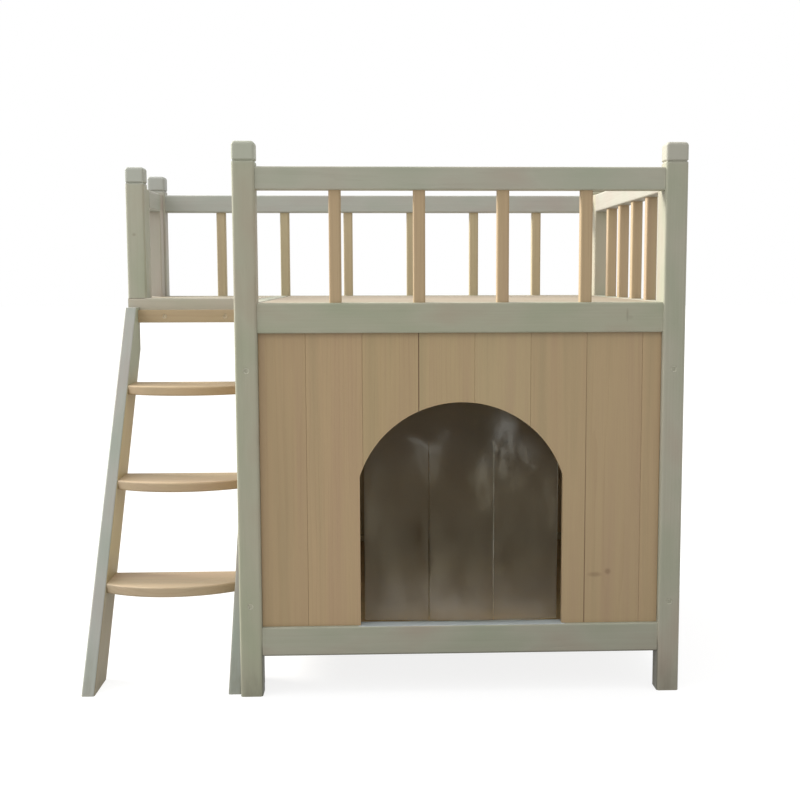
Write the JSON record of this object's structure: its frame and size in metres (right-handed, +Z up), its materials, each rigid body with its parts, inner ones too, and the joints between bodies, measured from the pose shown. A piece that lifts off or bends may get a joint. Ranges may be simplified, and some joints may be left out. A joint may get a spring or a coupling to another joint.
{
  "type": "cat house",
  "caption": "Wooden cat house with an arched doorway closed by clear hanging flaps, a railed roof deck, and a side landing reached by an open step ladder.",
  "frame": {"origin": "on the ground, at the middle of the part's footprint", "axes": "+Z up, +X to the right of someone facing the doorway, -Y out of the doorway"},
  "size_m": [0.815, 0.595, 0.7415],
  "materials": {
    "grey_paint": "thin sage grey paint",
    "natural_wood": "bare planed softwood",
    "clear_sheet": "clear flexible plastic sheet",
    "screw_steel": "zinc plated"
  },
  "bodies": {
    "house": {"back_balusters": "natural_wood", "back_bottom_rail": "grey_paint", "back_deck_rail": "grey_paint", "back_left_post": "grey_paint", "back_right_post": "grey_paint", "back_top_rail": "grey_paint", "back_wall_boards": "natural_wood", "curtain_batten": "natural_wood", "curtain_header": "clear_sheet", "curtain_screws": "screw_steel", "deck_boards": "natural_wood", "deck_cleats": "natural_wood", "floor_boards": "natural_wood", "floor_cleats": "natural_wood", "frame_screws": "screw_steel", "front_balusters": "natural_wood", "front_board_left_1": "natural_wood", "front_board_left_2": "natural_wood", "front_board_left_3": "natural_wood", "front_board_left_4": "natural_wood", "front_board_right_1": "natural_wood", "front_board_right_2": "natural_wood", "front_board_right_3": "natural_wood", "front_board_right_4": "natural_wood", "front_bottom_rail": "grey_paint", "front_deck_rail": "grey_paint", "front_left_post": "grey_paint", "front_right_post": "grey_paint", "front_top_rail": "grey_paint", "ladder_crossbar": "natural_wood", "ladder_left_stringer": "grey_paint", "ladder_right_stringer": "grey_paint", "ladder_screws": "screw_steel", "ladder_step_1": "natural_wood", "ladder_step_2": "natural_wood", "ladder_step_3": "natural_wood", "landing_back_post": "grey_paint", "landing_boards": "natural_wood", "landing_front_beam": "grey_paint", "landing_front_post": "grey_paint", "landing_front_stile": "grey_paint", "landing_rear_stile": "grey_paint", "landing_side_beam": "grey_paint", "landing_side_rail": "grey_paint", "left_bottom_rail": "grey_paint", "left_deck_rail": "grey_paint", "left_front_stile": "grey_paint", "left_rear_stile": "grey_paint", "left_wall_boards": "natural_wood", "right_balusters": "natural_wood", "right_bottom_rail": "grey_paint", "right_deck_rail": "grey_paint", "right_front_stile": "grey_paint", "right_rear_stile": "grey_paint", "right_top_rail": "grey_paint", "right_wall_boards": "natural_wood"},
    "left_flap": {"curtain_flap_left": "clear_sheet"},
    "middle_flap": {"curtain_flap_middle": "clear_sheet"},
    "right_flap": {"curtain_flap_right": "clear_sheet"}
  },
  "joints": [
    {"name": "left_flap_swing", "type": "hinge", "parent": "house", "child": "left_flap", "pos_m": [0.02143, -0.27875, 0.293], "axis": [1, 0, 0], "range_deg": [-75, 75]},
    {"name": "middle_flap_swing", "type": "hinge", "parent": "house", "child": "middle_flap", "pos_m": [0.1095, -0.27875, 0.345], "axis": [1, 0, 0], "range_deg": [-75, 75]},
    {"name": "right_flap_swing", "type": "hinge", "parent": "house", "child": "right_flap", "pos_m": [0.19757, -0.27875, 0.293], "axis": [1, 0, 0], "range_deg": [-75, 75]}
  ]
}
